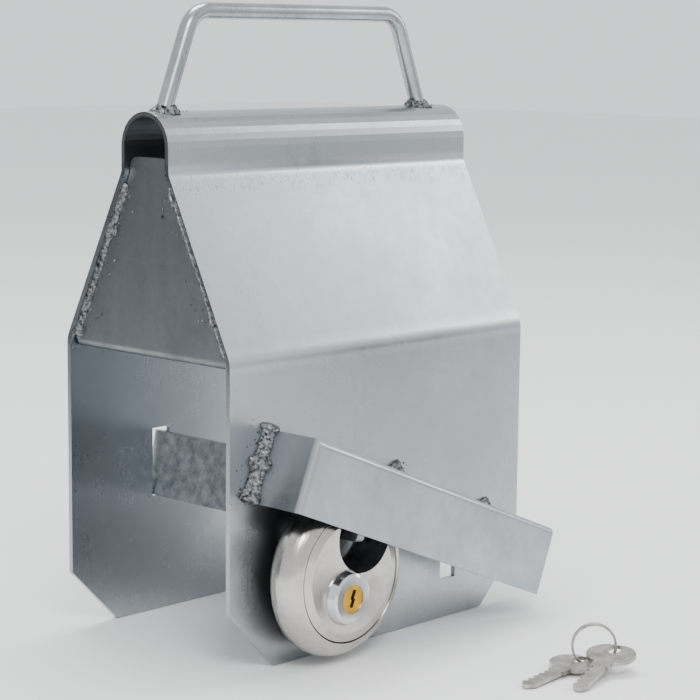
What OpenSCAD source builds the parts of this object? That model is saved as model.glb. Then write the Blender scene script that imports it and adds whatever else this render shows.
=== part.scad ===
// Box lock for a trailer coupling head: folded steel housing, carrying handle, locking bar,
// padlock guard, disc padlock with its inner mechanism, and two keys on a split ring.
// Millimetres. X runs from the open front (-) to the rear (+), Z is up, and the padlock is on -Y.
// The origin is the middle of the housing's mouth, on the surface that it stands on.

/* [Housing] */
// Length of the housing, front to rear
body_len = 209; // [180:1:260]
// Width over the side panels
body_w = 117; // [105:1:150]
// Thickness of the folded sheet
sheet_t = 2.5; // [2:0.1:4]
// Height of the corner where each panel folds into the roof
knee_z = 148; // [135:1:190]
// Outer radius of the knee fold
knee_r = 14; // [6:1:20]
// Height of the corner where the roof meets the ridge
neck_z = 231.5; // [215:0.5:290]
// Outer radius of the reverse fold under the ridge
neck_r = 5; // [3:0.5:8]
// Outer radius of the round ridge
ridge_r = 16.7; // [14:0.1:22]
// Height of the ridge's straight neck above its fold
ridge_neck_h = 11.8; // [8:0.1:20]
// Size of the 45 degree cuts on the panels' lower corners
corner_cut = 29; // [10:1:40]

/* [Slots] */
// Width of a bar slot
slot_w = 11.5; // [11:0.1:14]
// Height of a bar slot
slot_h = 36; // [35:0.5:42]
// Distance from the housing's front edge to the middle of the front slots
front_slot_in = 58.8; // [50:0.1:65]
// Middle of the front slots in height
front_slot_z = 77.7; // [70:0.1:95]
// Distance from the housing's rear edge to the middle of the rear slots
rear_slot_in = 55.5; // [45:0.5:65]
// Middle of the rear slots in height
rear_slot_z = 38; // [30:0.5:48]

/* [End plate] */
// How far the end plate stands behind the front edges
plate_inset = 3; // [2:0.5:8]
// Thickness of the end plate
plate_t = 2.5; // [2:0.1:4]
// Height of the end plate's lower edge
plate_low_z = 143.5; // [130:0.5:180]
// Height of the end plate's upper edge
plate_top_z = 238.5; // [225:0.5:290]
// Depth of the lip folded inwards along its lower edge
plate_lip = 12; // [8:1:25]
// Outer radius of the lip's fold
plate_fold_r = 4; // [3:0.5:6]
// Gap between the end plate and the sheet, filled by the weld
plate_gap = 0.3; // [0.1:0.1:1]
// Leg of the weld beads
weld_leg = 3; // [2:0.5:4]

/* [Handle] */
// Diameter of the handle rod
handle_d = 8; // [6:0.5:10]
// Height of the grip's middle above the ridge
handle_rise = 47; // [40:1:70]
// Distance from each end of the housing to a handle foot
handle_foot_in = 16; // [10:0.5:30]
// Distance from each end of the housing to the handle's upper corner
handle_top_in = 33.5; // [25:0.5:45]
// Bend radius at the rod's middle
handle_bend_r = 14; // [10:1:20]
// Middle of the handle along X
handle_x = -3.5; // [-8:0.5:8]
// Width of the weld collar around each foot
collar_w = 3; // [2:0.5:4]

/* [Padlock guard] */
// How much shorter the guard is than the housing
guard_short = 21; // [15:1:40]
// Height of the guard's outer face
guard_h = 35.2; // [30:0.1:45]
// Depth of the guard from the panel
guard_depth = 33; // [32:0.5:40]
// Slope of the guard, rear end lower
guard_tilt = 22; // [15:0.5:26]
// Distance from the housing's front edge to the guard's upper front corner
guard_in = 25.3; // [20:0.1:30]
// Upper front corner of the guard in height
guard_z = 114.5; // [105:0.5:125]
// Outer radius of the guard's folds
guard_r = 3.5; // [2.8:0.1:6]
// Length of each stitch weld along the guard's upper edge
stitch_len = 16; // [8:1:25]

/* [Locking bar] */
// Thickness of the flat bar
bar_t = 5; // [4:0.1:6]
// Height of the flat bar
bar_h = 33; // [30:0.5:34]
// Lean of the bar in its slots, top towards the rear
bar_lean = 10.5; // [0:0.5:11]
// Height of the shackle hole above the bar's middle
bar_hole_rise = -2; // [-5:0.5:5]
// Gap between the bar's end and the guard
bar_end_gap = 0.5; // [0.3:0.1:3]
// Length of the leg bent towards the rear at the bar's far end
leg_len = 28; // [15:1:40]
// Inner radius of the leg's bend
leg_r = 1.5; // [1:0.1:3]
// Radius of the bar's free corners
bar_corner_r = 3; // [1:0.5:6]

/* [Padlock] */
// Radius of the disc
lock_r = 40; // [36:0.5:45]
// Thickness of the disc without its boss
lock_th = 22; // [21:0.5:24]
// Distance from the panel to the disc's mid-plane
lock_mid_d = 15.5; // [15:0.5:18]
// Slope of the padlock, its notch towards the rear
lock_tilt = 24; // [10:1:30]
// Hang of the padlock below the bar's hole, away from the vertical
lock_hang = 7; // [0:0.5:12]
// Radius where the disc's flat faces end
flat_r = 27; // [25:0.5:30]
// Radius of the seam between the two shells
seam_r = 32; // [30:0.5:34]
// Wall of the shells
shell_t = 1.6; // [1.2:0.1:2]
// Half the width of the notch, and the radius of its floor
notch_r = 17.5; // [15:0.5:20]
// Distance from the disc's middle to the notch floor
notch_floor = 2.5; // [1.6:0.1:6]
// Diameter of the shackle
shackle_d = 11; // [8:0.5:12]
// Radius of the shackle's arc
shackle_arc_r = 31.5; // [30:0.5:34]
// Distance from the disc's middle to the key cylinder
plug_offset = 10; // [9:0.5:12]
// Turn of the plug between locked and open
plug_turn = 150; // [140:1:160]
// Radius of the key cylinder's plug
plug_r = 6.8; // [6:0.1:7.5]
// Radius of the boss at its foot
boss_r = 13.4; // [11:0.1:13.5]
// Height of the boss above the face
boss_h = 4.5; // [3:0.1:6]
// Radius of the driver pin's circle around the plug
driver_r = 12; // [10:0.1:12.5]
// Diameter of the driver pin
driver_d = 3; // [2:0.1:4]

/* [Keys] */
// Thickness of a key
key_t = 1.8; // [1.5:0.1:2.2]
// Length of a key from its tip to the middle of its hole
key_reach = 43.5; // [38:0.5:50]
// Width of the key blade
blade_w = 7.4; // [6:0.1:8]
// Radius of the key bow's rounded ends
bow_r = 9.5; // [8:0.1:11]
// Length of the straight part between the bow's ends
bow_straight = 5; // [3:0.5:8]
// Radius of the split ring at the middle of its wire
ring_r = 10.3; // [9:0.1:12]
// Thickness of the ring's wire
wire_t = 1.2; // [1:0.1:1.6]
// Middle of the ring on the surface, along X
ring_x = 30; // [0:1:80]
// Middle of the ring on the surface, along Y
ring_y = -167.5; // [-200:0.5:-140]

/* [Hidden] */
$fn = 64;

half_len = body_len / 2;
half_w = body_w / 2;
front_slot_x = front_slot_in - half_len;
rear_slot_x = half_len - rear_slot_in;
guard_x = guard_in - half_len;
guard_len = body_len - guard_short;
ridge_z = neck_z + ridge_neck_h;
ridge_top = ridge_z + ridge_r;
fold_steps = 8;
ridge_steps = 24;

// Half width of the housing's inner face at a height on the roof
roof_run = (half_w - ridge_r) / (neck_z - knee_z);
roof_slant = sqrt(1 + roof_run * roof_run);
function inner_half(z) = z > neck_z ? ridge_r - sheet_t
    : half_w - (z - knee_z) * roof_run - sheet_t * roof_slant;

// Bar: its middle in the XZ plane, resting in the front slot
bar_half_z = (bar_h * cos(bar_lean) + bar_t * sin(bar_lean)) / 2;
bar_rest_gap = 0.3;
bar_x = front_slot_x;
bar_z = front_slot_z - slot_h / 2 + bar_rest_gap + bar_half_z;
bar_near_y = -half_w - guard_depth + sheet_t + bar_end_gap;
leg_gap = leg_r + 0.3;
hole_clear = 1.1;
bar_hole_r = shackle_d / 2 + hole_clear;

// Padlock: the disc's middle hangs one arc radius below the bar's hole
lock_x = bar_x + bar_hole_rise * sin(bar_lean) - shackle_arc_r * sin(lock_hang);
lock_z = bar_z + bar_hole_rise * cos(bar_lean) - shackle_arc_r * cos(lock_hang);
lock_y = -half_w - lock_mid_d;
face_h = lock_th / 2;
inner_h = face_h - shell_t;
part_gap = 0.2;
body_gap = 0.3;
run_gap = 0.06;
plate_seat = 0.15;
rim_w = lock_r - flat_r;
seam_a = acos((seam_r - flat_r) / rim_w);
bore_r = plug_r + run_gap;
notch_y = notch_floor + notch_r;

// Layers of the mechanism, outwards from the disc's mid-plane
drill_t = 1.5;
arm_t = 2;
cam_t = 1.5;
arm_low = -inner_h + body_gap;
cam_low = arm_low + arm_t + body_gap;
core_low = cam_low + cam_t + body_gap;
drill_top = inner_h - part_gap;
core_top = drill_top - drill_t - part_gap;
plug_top = face_h + boss_h - 0.4;
core_r = plug_r + 3.4;
ring_in = shackle_arc_r - shackle_d / 2;

// Shackle angles from the notch's middle line; the driver turns the shackle by twice half_turn
driver_at = [-driver_r * sin(plug_turn / 2), -driver_r * cos(plug_turn / 2)];
half_turn = atan2(-driver_at[0], plug_offset - driver_at[1]);
slot_a = 180 - half_turn;
notch_a = asin(notch_r / shackle_arc_r);
tip_a = notch_a + 4.8;
tip_len = 1.5;
tip_cap_a = tip_len / shackle_arc_r * 180 / PI;
rod_clear = 0.5;

// Pin stacks
pin_count = 4;
pin_pitch = 3;
pin_d = 2.4;
pin_first = core_low + 1.8;
chamber_len = 6.2;
cap_t = 1;
driver_pin_len = 2.8;
core_end = plug_offset + bore_r + chamber_len + cap_t;

// Keys
key_cuts = 5;
cut_pitch = 4.2;
ring_yaw = -46.4;
ring_h = ring_r + wire_t / 2 + 0.2;
key_low = key_t / 2 + 0.15;

// ---------------------------------------------------------------- helper functions

function unit(v) = v / norm(v);
function left_of(v) = [-v[1], v[0]];
function cross2(a, b) = a[0] * b[1] - a[1] * b[0];
function turned(v, a) = [v[0] * cos(a) - v[1] * sin(a), v[0] * sin(a) + v[1] * cos(a)];
function reversed(list) = [for (i = [len(list) - 1 : -1 : 0]) list[i]];

// A path's corners moved sideways by d, to the left of its direction
function shifted(p, d) = [for (i = [0 : len(p) - 1])
    let (a = i > 0 ? unit(p[i] - p[i - 1]) : unit(p[1] - p[0]),
         b = i < len(p) - 1 ? unit(p[i + 1] - p[i]) : a,
         n = left_of(a) + left_of(b))
    p[i] + d * n / (1 + left_of(a) * left_of(b))];

// +1 where the path turns left at corner i, -1 where it turns right
function side_at(p, i) = sign(cross2(p[i] - p[i - 1], p[i + 1] - p[i]));

// The points of one rounded corner
function corner_arc(p, i, r, n) =
    let (a = unit(p[i - 1] - p[i]), b = unit(p[i + 1] - p[i]),
         h = acos(a * b) / 2, mid = p[i] + unit(a + b) * r / sin(h),
         from = p[i] + a * r / tan(h) - mid, sweep = (180 - 2 * h) * side_at(p, i))
    [for (k = [0 : n]) mid + turned(from, sweep * k / n)];

// A path with a radius at each inner corner
function rounded(p, r, n) = concat([p[0]],
    [for (i = [1 : len(p) - 2]) each corner_arc(p, i, r[i], n)], [p[len(p) - 1]]);

// A folded strip of sheet: the given path is one face, the other lies t to its left
function folded_strip(p, r, t, n) = concat(rounded(p, r, n),
    reversed(rounded(shifted(p, t),
        [for (i = [0 : len(p) - 1]) i == 0 || i == len(p) - 1 ? 0 : r[i] - t * side_at(p, i)], n)));

// ---------------------------------------------------------------- places

// Guard frame: x along the guard from its upper front corner, y away from the panel, z up it
module in_guard_frame() {
    translate([guard_x, -half_w, guard_z]) rotate([0, guard_tilt, 0]) mirror([0, 1, 0]) children();
}

// Bar frame: y runs across the housing, z up the bar, the origin in the bar's middle
module in_bar_frame() {
    translate([bar_x, 0, bar_z]) rotate([0, bar_lean, 0]) children();
}

// Padlock frame: z is outwards from the panel, y points into the notch, the origin is the disc's middle
module in_lock_frame() {
    translate([lock_x, lock_y, lock_z]) rotate([0, lock_tilt, 0]) rotate([90, 0, 0]) children();
}

module in_plug_frame() {
    in_lock_frame() translate([0, -plug_offset, 0]) children();
}

// Ring frame: the ring stands in the XZ plane
module in_ring_frame() {
    translate([ring_x, ring_y, ring_h]) rotate([0, 0, ring_yaw]) children();
}

// ---------------------------------------------------------------- housing

module housing_profile() {
    path = [[half_w, 0], [half_w, knee_z], [ridge_r, neck_z], [ridge_r, ridge_top],
            [-ridge_r, ridge_top], [-ridge_r, neck_z], [-half_w, knee_z], [-half_w, 0]];
    radii = [0, knee_r, neck_r, ridge_r, ridge_r, neck_r, knee_r, 0];
    polygon(folded_strip(path, radii, sheet_t, fold_steps));
}

module along_x(len) {
    rotate([90, 0, 90]) linear_extrude(len) children();
}

module bar_slot(x, z) {
    translate([x - slot_w / 2, -half_w - 1, z - slot_h / 2]) cube([slot_w, body_w + 2, slot_h]);
}

module corner_cuts() {
    for (side = [-1, 1])
        translate([side * half_len, half_w + 1, 0]) rotate([90, 0, 0]) linear_extrude(body_w + 2)
            polygon([[side, -1], [-side * (corner_cut + 1), -1], [side, corner_cut + 1]]);
}

module housing_shell() {
    color("silver") difference() {
        translate([-half_len, 0, 0]) along_x(body_len) housing_profile();
        bar_slot(front_slot_x, front_slot_z);
        bar_slot(rear_slot_x, rear_slot_z);
        corner_cuts();
    }
}

// ---------------------------------------------------------------- end plate

plate_x = -half_len + plate_inset;
plate_corner_r = 5;

neck_in_z = neck_z - sheet_t * (roof_slant - 1) / roof_run;

function low_at(z) = min(inner_half(z), half_w - sheet_t) - plate_gap - knee_r * 0.03;

module plate_outline() {
    low_z = plate_low_z + plate_fold_r;
    low = low_at(low_z);
    top = ridge_r - sheet_t - plate_gap;
    path = [[0, low_z], [low, low_z], [top, neck_in_z], [top, plate_top_z],
            [-top, plate_top_z], [-top, neck_in_z], [-low, low_z], [0, low_z]];
    radii = [0, 0.5, 4, plate_corner_r, plate_corner_r, 4, 0.5, 0];
    polygon(rounded(path, radii, 6));
}

module end_plate() {
    lip_half = low_at(plate_low_z + plate_fold_r) - 1;
    fold = [[0, plate_fold_r], [0, 0], [plate_lip, 0]];
    color("dimgray") {
        union() {
            translate([plate_x, 0, 0]) along_x(plate_t) plate_outline();
            translate([plate_x, lip_half, plate_low_z]) rotate([90, 0, 0])
                linear_extrude(2 * lip_half)
                    polygon(folded_strip(fold, [0, plate_fold_r - 0.01, 0], plate_t, fold_steps));
        }
    }
}

// A three-sided weld bead in the corner between the plate and the roof
module end_weld(side) {
    low_z = plate_low_z + plate_fold_r + 3;
    top_z = neck_z - 8;
    run = [0, side * (inner_half(top_z) - inner_half(low_z)), top_z - low_z];
    slope = atan(roof_run);
    color("gray") translate([plate_x, side * (inner_half(low_z) - 0.1), low_z])
        rotate([side * slope, 0, 0]) mirror([0, side > 0 ? 1 : 0, 0])
            linear_extrude(norm(run)) polygon([[0, 0], [-weld_leg + 0.4, 0], [0, weld_leg]]);
}

module end_weld_near() {
    end_weld(-1);
}

module end_weld_far() {
    end_weld(1);
}

// ---------------------------------------------------------------- handle

grip_z = ridge_top + handle_rise;
foot_z = ridge_top + handle_d * 0.2;

foot_half = half_len - handle_foot_in;
top_half = half_len - handle_top_in;
leg_lean = atan2(foot_half - top_half, grip_z - foot_z);
bend_turn = 90 - leg_lean;
bend_x = top_half - handle_bend_r * tan(bend_turn / 2);
leg_h = norm([foot_half - top_half, grip_z - foot_z]) - handle_bend_r * tan(bend_turn / 2);

// The rear half of the handle: leg, bend and half of the grip
module half_handle() {
    translate([bend_x, 0, grip_z - handle_bend_r]) rotate([90, 0, 0]) {
        rotate([0, 0, leg_lean]) {
            rotate_extrude(angle = bend_turn, $fn = 96)
                translate([handle_bend_r, 0]) circle(d = handle_d, $fn = 48);
            translate([handle_bend_r, 0, 0]) rotate([90, 0, 0])
                cylinder(d = handle_d, h = leg_h, $fn = 48);
        }
        rotate([0, 0, 90]) translate([handle_bend_r, 0, 0]) rotate([-90, 0, 0])
            cylinder(d = handle_d, h = bend_x + 0.5, $fn = 48);
    }
}

module carry_handle() {
    color("silver") translate([handle_x, 0, 0]) {
        half_handle();
        mirror([1, 0, 0]) half_handle();
    }
}

module ridge_solid() {
    translate([-half_len - 20, 0, ridge_z]) rotate([0, 90, 0])
        cylinder(r = ridge_r, h = body_len + 40, $fn = 4 * ridge_steps);
}

module handle_welds() {
    color("gray") for (side = [-1, 1]) difference() {
        translate([handle_x + side * foot_half, 0, foot_z]) rotate([0, -side * leg_lean, 0])
            difference() {
                translate([0, 0, -handle_d])
                    cylinder(d1 = handle_d + 4 * collar_w, d2 = handle_d + 1, h = handle_d + 5);
                cylinder(d = handle_d, h = 4 * handle_d);
            }
        ridge_solid();
    }
}

// ---------------------------------------------------------------- guard

// The guard's outline seen along its length (y out, z up), grown inwards by d
module guard_section(d, low) {
    w = guard_depth - d;
    r = guard_r - d;
    polygon(rounded([[0, low], [w, low], [w, -d], [0, -d]], [0, 0.01, r, 0], fold_steps));
}

// The guard's outline seen from above (x along, y out), grown inwards by d; its rear end is open
module guard_plan(d, back, len) {
    w = guard_depth - d;
    polygon(rounded([[d, back], [d, w], [len, w], [len, back]], [0, guard_r - d, 0.01, 0], fold_steps));
}

module guard_solid(d, back, low, len) {
    intersection() {
        rotate([90, 0, 90]) linear_extrude(len) guard_section(d, low);
        translate([0, 0, low]) linear_extrude(-low) guard_plan(d, back, len);
    }
}

module guard_cover() {
    color("lightgray") in_guard_frame() difference() {
        guard_solid(0, 0, -guard_h, guard_len);
        guard_solid(sheet_t, -1, -guard_h - 1, guard_len + 1);
    }
}

module guard_bead(len) {
    linear_extrude(len) polygon([[0, 0], [-weld_leg, 0], [0, weld_leg]]);
}

module guard_front_weld() {
    color("gray") in_guard_frame() translate([0, 0, -guard_h]) guard_bead(guard_h);
}

module guard_top_welds() {
    color("gray") in_guard_frame() for (share = [0.49, 0.89])
        translate([guard_len * share - stitch_len / 2, 0, 0]) rotate([0, 90, 0]) guard_bead(stitch_len);
}

// ---------------------------------------------------------------- locking bar

module bar_plan() {
    face = bar_t / 2;
    bend_y = half_w + leg_gap;
    path = [[face, bar_near_y], [face, bend_y], [leg_len - face, bend_y]];
    polygon(folded_strip(path, [0, leg_r, 0], bar_t, fold_steps));
}

module bar_side() {
    low = -bar_h / 2;
    polygon(rounded([[body_w, low], [bar_near_y, low], [bar_near_y, -low], [body_w, -low]],
        [0, bar_corner_r, bar_corner_r, 0], fold_steps));
}

module locking_bar() {
    color("gray") in_bar_frame() difference() {
        intersection() {
            translate([0, 0, -bar_h / 2]) linear_extrude(bar_h) bar_plan();
            translate([-body_w / 2, 0, 0]) rotate([90, 0, 90]) linear_extrude(body_w) bar_side();
        }
        translate([-bar_t, lock_y, bar_hole_rise]) rotate([0, 90, 0])
            cylinder(r = bar_hole_r, h = 2 * bar_t);
    }
}

// ---------------------------------------------------------------- padlock shells

// Half section of the disc: an elliptic rim from angle a0 to a1 around the flat faces' edge
function rim_arc(d, a0, a1, n) = [for (k = [0 : n])
    let (a = a0 + (a1 - a0) * k / n)
    [flat_r + (rim_w - d) * cos(a), (face_h - d) * sin(a)]];

// The space inside the shells, kept clear by gap
module lock_cavity(gap) {
    rotate_extrude($fn = 128) polygon(concat([[0, -inner_h + gap]],
        rim_arc(shell_t + gap, -90, 90, 24), [[0, inner_h - gap]]));
}

module notch_outline(grow) {
    r = notch_r + grow;
    translate([0, notch_y]) circle(r, $fn = 96);
    translate([-r, notch_y]) square([2 * r, lock_r]);
}

module notch_cut(grow) {
    translate([0, 0, -lock_th]) linear_extrude(2 * lock_th) notch_outline(grow);
}

module shackle_ring(d) {
    rotate_extrude($fn = 128) translate([shackle_arc_r, 0]) circle(d = d, $fn = 48);
}

// A sector of the lock's plan between two clockwise angles
module sector(a0, a1, r, low, high) {
    n = 16;
    translate([0, 0, low]) linear_extrude(high - low) polygon(concat([[0, 0]],
        [for (k = [0 : n]) let (a = 90 - a0 - (a1 - a0) * k / n) [r * cos(a), r * sin(a)]]));
}

module lock_back_shell() {
    color("lightgray") in_lock_frame() difference() {
        rotate_extrude($fn = 128) polygon(concat([[0, -face_h]], rim_arc(0, -90, seam_a, 24),
            reversed(rim_arc(shell_t, -90, seam_a, 24)), [[0, -inner_h]]));
        notch_cut(0);
    }
}

seam_h = (face_h - shell_t) * sin(seam_a);
plate_out_r = flat_r + (rim_w - shell_t) * cos(seam_a) - plate_seat;

module lock_front_plate() {
    color("lightgray") in_lock_frame() difference() {
        rotate_extrude($fn = 128) polygon([[0, inner_h + plate_seat],
            [flat_r, inner_h + plate_seat], [plate_out_r, seam_h + plate_seat],
            [plate_out_r, seam_h + shell_t * 0.7], [flat_r, face_h], [0, face_h]]);
        translate([0, -plug_offset, -1]) cylinder(r = bore_r + part_gap, h = lock_th);
        notch_cut(0);
    }
}

module lock_boss() {
    chamfer = boss_h * 0.3;
    color("white") in_plug_frame() rotate_extrude($fn = 96)
        polygon([[bore_r, face_h], [boss_r, face_h], [boss_r, face_h + boss_h - 3 * chamfer],
            [boss_r - chamfer, face_h + boss_h - chamfer / 2], [boss_r - 2 * chamfer, face_h + boss_h],
            [bore_r, face_h + boss_h]]);
}

// ---------------------------------------------------------------- padlock inside

module notch_liner() {
    color("darkgray") in_lock_frame() intersection() {
        lock_cavity(part_gap);
        difference() {
            notch_cut(shell_t);
            notch_cut(0);
            shackle_ring(shackle_d + 2 * rod_clear);
        }
    }
}

module core_plan() {
    circle(core_r, $fn = 64);
    translate([-core_r / 2, -(core_end - plug_offset)]) square([core_r, core_end - plug_offset]);
}

module lock_core() {
    color("darkkhaki") difference() {
        in_plug_frame() translate([0, 0, core_low]) linear_extrude(core_top - core_low) core_plan();
        in_plug_frame() translate([0, 0, -lock_th]) cylinder(r = bore_r, h = 2 * lock_th);
        in_plug_frame() for (i = [0 : pin_count - 1])
            translate([0, 0, pin_first + i * pin_pitch]) rotate([90, 0, 0])
                cylinder(d = pin_d + 0.2, h = core_end, $fn = 24);
        in_lock_frame() notch_cut(shell_t + part_gap);
    }
}

// The guide walls stand just inside the shackle, and the drill plate rests over them
wall_t = 1.8;
wall_out_r = ring_in - 0.4;
drill_gap = 2;
drill_r = min(ring_in - drill_gap, flat_r - 1);

module drill_plate() {
    color("slategray") difference() {
        in_lock_frame() translate([0, 0, drill_top - drill_t]) cylinder(r = drill_r, h = drill_t);
        in_plug_frame() translate([0, 0, 0]) cylinder(r = bore_r + part_gap, h = lock_th);
        in_lock_frame() notch_cut(shell_t + part_gap);
    }
}

module guide_walls() {
    color("darkgray") in_lock_frame() for (range = [[-125, -62], [62, 125]])
        intersection() {
            difference() {
                translate([0, 0, core_low]) cylinder(r = wall_out_r, h = core_top - core_low);
                translate([0, 0, core_low - 1]) cylinder(r = wall_out_r - wall_t, h = lock_th);
            }
            sector(range[0], range[1], lock_r, core_low - 1, core_top + 1);
        }
}

socket_a0 = notch_a + 5.5;
socket_a1 = tip_a + tip_cap_a + 12;

module shackle_socket() {
    color("darkgray") in_lock_frame() intersection() {
        lock_cavity(part_gap);
        difference() {
            sector(socket_a0, socket_a1, lock_r + 5, -inner_h + part_gap, drill_top);
            translate([0, 0, -lock_th]) cylinder(r = ring_in - 0.6, h = 2 * lock_th);
            intersection() {
                shackle_ring(shackle_d + 2 * rod_clear);
                sector(0, tip_a + tip_cap_a + 2, lock_r + 5, -lock_th, lock_th);
            }
            notch_cut(shell_t + part_gap);
        }
    }
}

module driver_pins() {
    color("gold") in_plug_frame() for (i = [0 : pin_count - 1])
        translate([0, -bore_r - 0.25, pin_first + i * pin_pitch]) rotate([90, 0, 0])
            cylinder(d = pin_d, h = driver_pin_len, $fn = 24);
}

module pin_springs() {
    spring_len = chamber_len - driver_pin_len - 0.3;
    color("silver") in_plug_frame() for (i = [0 : pin_count - 1])
        translate([0, -bore_r - 0.25 - driver_pin_len, pin_first + i * pin_pitch]) rotate([90, 0, 0])
            difference() {
                cylinder(d = pin_d - 0.2, h = spring_len, $fn = 24);
                translate([0, 0, -1]) cylinder(d = pin_d - 1, h = spring_len + 2, $fn = 24);
            }
}

module chamber_cap() {
    color("gold") in_plug_frame() for (i = [0 : pin_count - 1])
        translate([0, -bore_r - chamber_len, pin_first + i * pin_pitch]) rotate([90, 0, 0])
            cylinder(d = pin_d, h = cap_t - 0.05, $fn = 24);
}

// ---------------------------------------------------------------- plug and driver

keyway_w = 2.2;
keyway_h = 9;
keyway_jog = 1;

module keyway(low, high) {
    translate([0, 0, low]) linear_extrude(high - low) {
        translate([-keyway_w / 2 - keyway_jog / 2, -0.5]) square([keyway_w, keyway_h / 2 + 0.5]);
        translate([-keyway_w / 2 + keyway_jog / 2, -keyway_h / 2 + 0.5]) square([keyway_w, keyway_h / 2]);
    }
}

module lock_plug() {
    color("goldenrod") in_plug_frame() difference() {
        translate([0, 0, core_low]) cylinder(r = plug_r, h = plug_top - core_low);
        keyway(core_low + 1.5, plug_top + 1);
        for (i = [0 : pin_count - 1])
            translate([0, -1, pin_first + i * pin_pitch]) rotate([90, 0, 0])
                cylinder(d = pin_d + 0.2, h = plug_r, $fn = 24);
    }
}

module key_pins() {
    color("gold") in_plug_frame() for (i = [0 : pin_count - 1])
        translate([0, -keyway_h / 2 + 1.2, pin_first + i * pin_pitch]) rotate([90, 0, 0])
            cylinder(d = pin_d, h = plug_r - keyway_h / 2 + 0.9, $fn = 24);
}

module driver_cam() {
    color("gray") in_plug_frame() {
        difference() {
            union() {
                translate([0, 0, cam_low]) linear_extrude(cam_t) {
                    circle(plug_r - 1);
                    rotate([0, 0, 180 - plug_turn / 2]) translate([-driver_d, 0])
                        square([2 * driver_d, driver_r]);
                    translate(driver_at) circle(driver_d);
                }
                translate([driver_at[0], driver_at[1], arm_low]) cylinder(d = driver_d, h = cam_low - arm_low + 0.5);
            }
            translate([0, 0, cam_low - 1]) cylinder(r = 2, h = 3 * cam_t);
        }
    }
}

module cam_clip() {
    color("dimgray") in_plug_frame() {
        translate([0, 0, cam_low]) cylinder(r = 1.95, h = core_low - cam_low);
        translate([0, 0, cam_low - 0.25]) cylinder(r = 2.6, h = 0.25);
    }
}

// ---------------------------------------------------------------- shackle

module shackle_rod() {
    color("silver") in_lock_frame() {
        rotate([0, 0, 90 - tip_a]) rotate_extrude(angle = tip_a + slot_a, $fn = 128)
            translate([shackle_arc_r, 0]) circle(d = shackle_d, $fn = 48);
        rotate([0, 0, 90 - tip_a]) translate([shackle_arc_r, 0, 0]) rotate([90, 0, 0])
            cylinder(d1 = shackle_d, d2 = shackle_d - 2 * tip_len, h = tip_len, $fn = 48);
    }
}

// The driver pin's least and greatest distances from the disc's middle, with room at the slot's ends
slide_in = norm([driver_at[0], plug_offset - driver_at[1]]) - driver_d / 2 - 0.7;
slide_out = plug_offset + driver_r + driver_d / 2 + 0.7;
slide_w = driver_d + 0.7;

module shackle_arm() {
    arm_w = slide_w + 5;
    riser_in = ring_in + 1;
    color("dimgray") in_lock_frame() intersection() {
        lock_cavity(body_gap);
        rotate([0, 0, 90 + slot_a]) difference() {
            union() {
                translate([slide_in - 2.3, -arm_w / 2, arm_low])
                    cube([riser_in - slide_in + 4.3, arm_w, arm_t]);
                translate([riser_in, -arm_w / 2, arm_low]) cube([6, arm_w, -arm_low - 1]);
            }
            translate([slide_in, -slide_w / 2, arm_low - 1])
                cube([slide_out - slide_in, slide_w, arm_t + 2]);
            shackle_ring(shackle_d + 0.1);
        }
    }
}

// ---------------------------------------------------------------- keys

module key_blank() {
    blade_from = bow_r * 2 - 5;
    linear_extrude(key_t) difference() {
        union() {
            translate([-bow_r + 5, -bow_straight / 2]) circle(bow_r);
            translate([-bow_r + 5, bow_straight / 2]) circle(bow_r);
            translate([-2 * bow_r + 5, -bow_straight / 2]) square([2 * bow_r, bow_straight]);
            translate([-blade_from - 5, -blade_w / 2 - 0.8]) square([8, blade_w + 1.6]);
            translate([-key_reach + 3, -blade_w / 2]) square([key_reach - 8, blade_w]);
            translate([-key_reach, 0]) polygon([[0, -1], [3.1, -blade_w / 2], [3.1, blade_w / 2], [0, 1]]);
        }
        key_hole();
        for (i = [0 : key_cuts - 1])
            translate([-key_reach + 6 + i * cut_pitch, blade_w / 2])
                polygon([[-1.7, 0.1], [-0.5, -cut_depth(i)], [0.5, -cut_depth(i)], [1.7, 0.1]]);
    }
}

function cut_depth(i) = 1 + 0.9 * abs(sin(70 * i + 35));

hole_w = 6;
hole_len = 8.8;

module key_hole() {
    gap = (hole_len - hole_w) / 2;
    for (s = [-1, 1]) translate([s * gap, 0]) circle(d = hole_w);
    translate([-gap, -hole_w / 2]) square([2 * gap, hole_w]);
}

// A key whose hole is on the ring at the given angle from the ring's foot
module key_at(ring_a, heading) {
    hole_z = ring_h - ring_r * cos(ring_a);
    pitch = asin((hole_z - key_low) / key_reach);
    translate([ring_x, ring_y, 0])
        rotate([0, 0, ring_yaw]) translate([ring_r * sin(ring_a), 0, 0]) rotate([0, 0, -ring_yaw])
            translate([0, 0, hole_z]) rotate([0, 0, heading]) rotate([0, -pitch, 0])
                translate([0, 0, -key_t / 2]) key_blank();
}

front_ring_a = 75;
rear_ring_a = -41;
front_heading = 13.5;
rear_heading = 2.4;

module key_front() {
    color("silver") key_at(front_ring_a, front_heading);
}

module key_rear() {
    color("silver") key_at(rear_ring_a, rear_heading);
}

// Two coils of square wire, drawn as one body with a groove between them
module split_ring() {
    groove = 0.2;
    out = ring_r + wire_t / 2;
    color("silver") in_ring_frame() rotate([90, 0, 0]) rotate_extrude($fn = 96)
        polygon([[out - wire_t, -wire_t], [out, -wire_t], [out, -groove], [out - groove, 0],
            [out, groove], [out, wire_t], [out - wire_t, wire_t]]);
}

// ---------------------------------------------------------------- nodes

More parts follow.
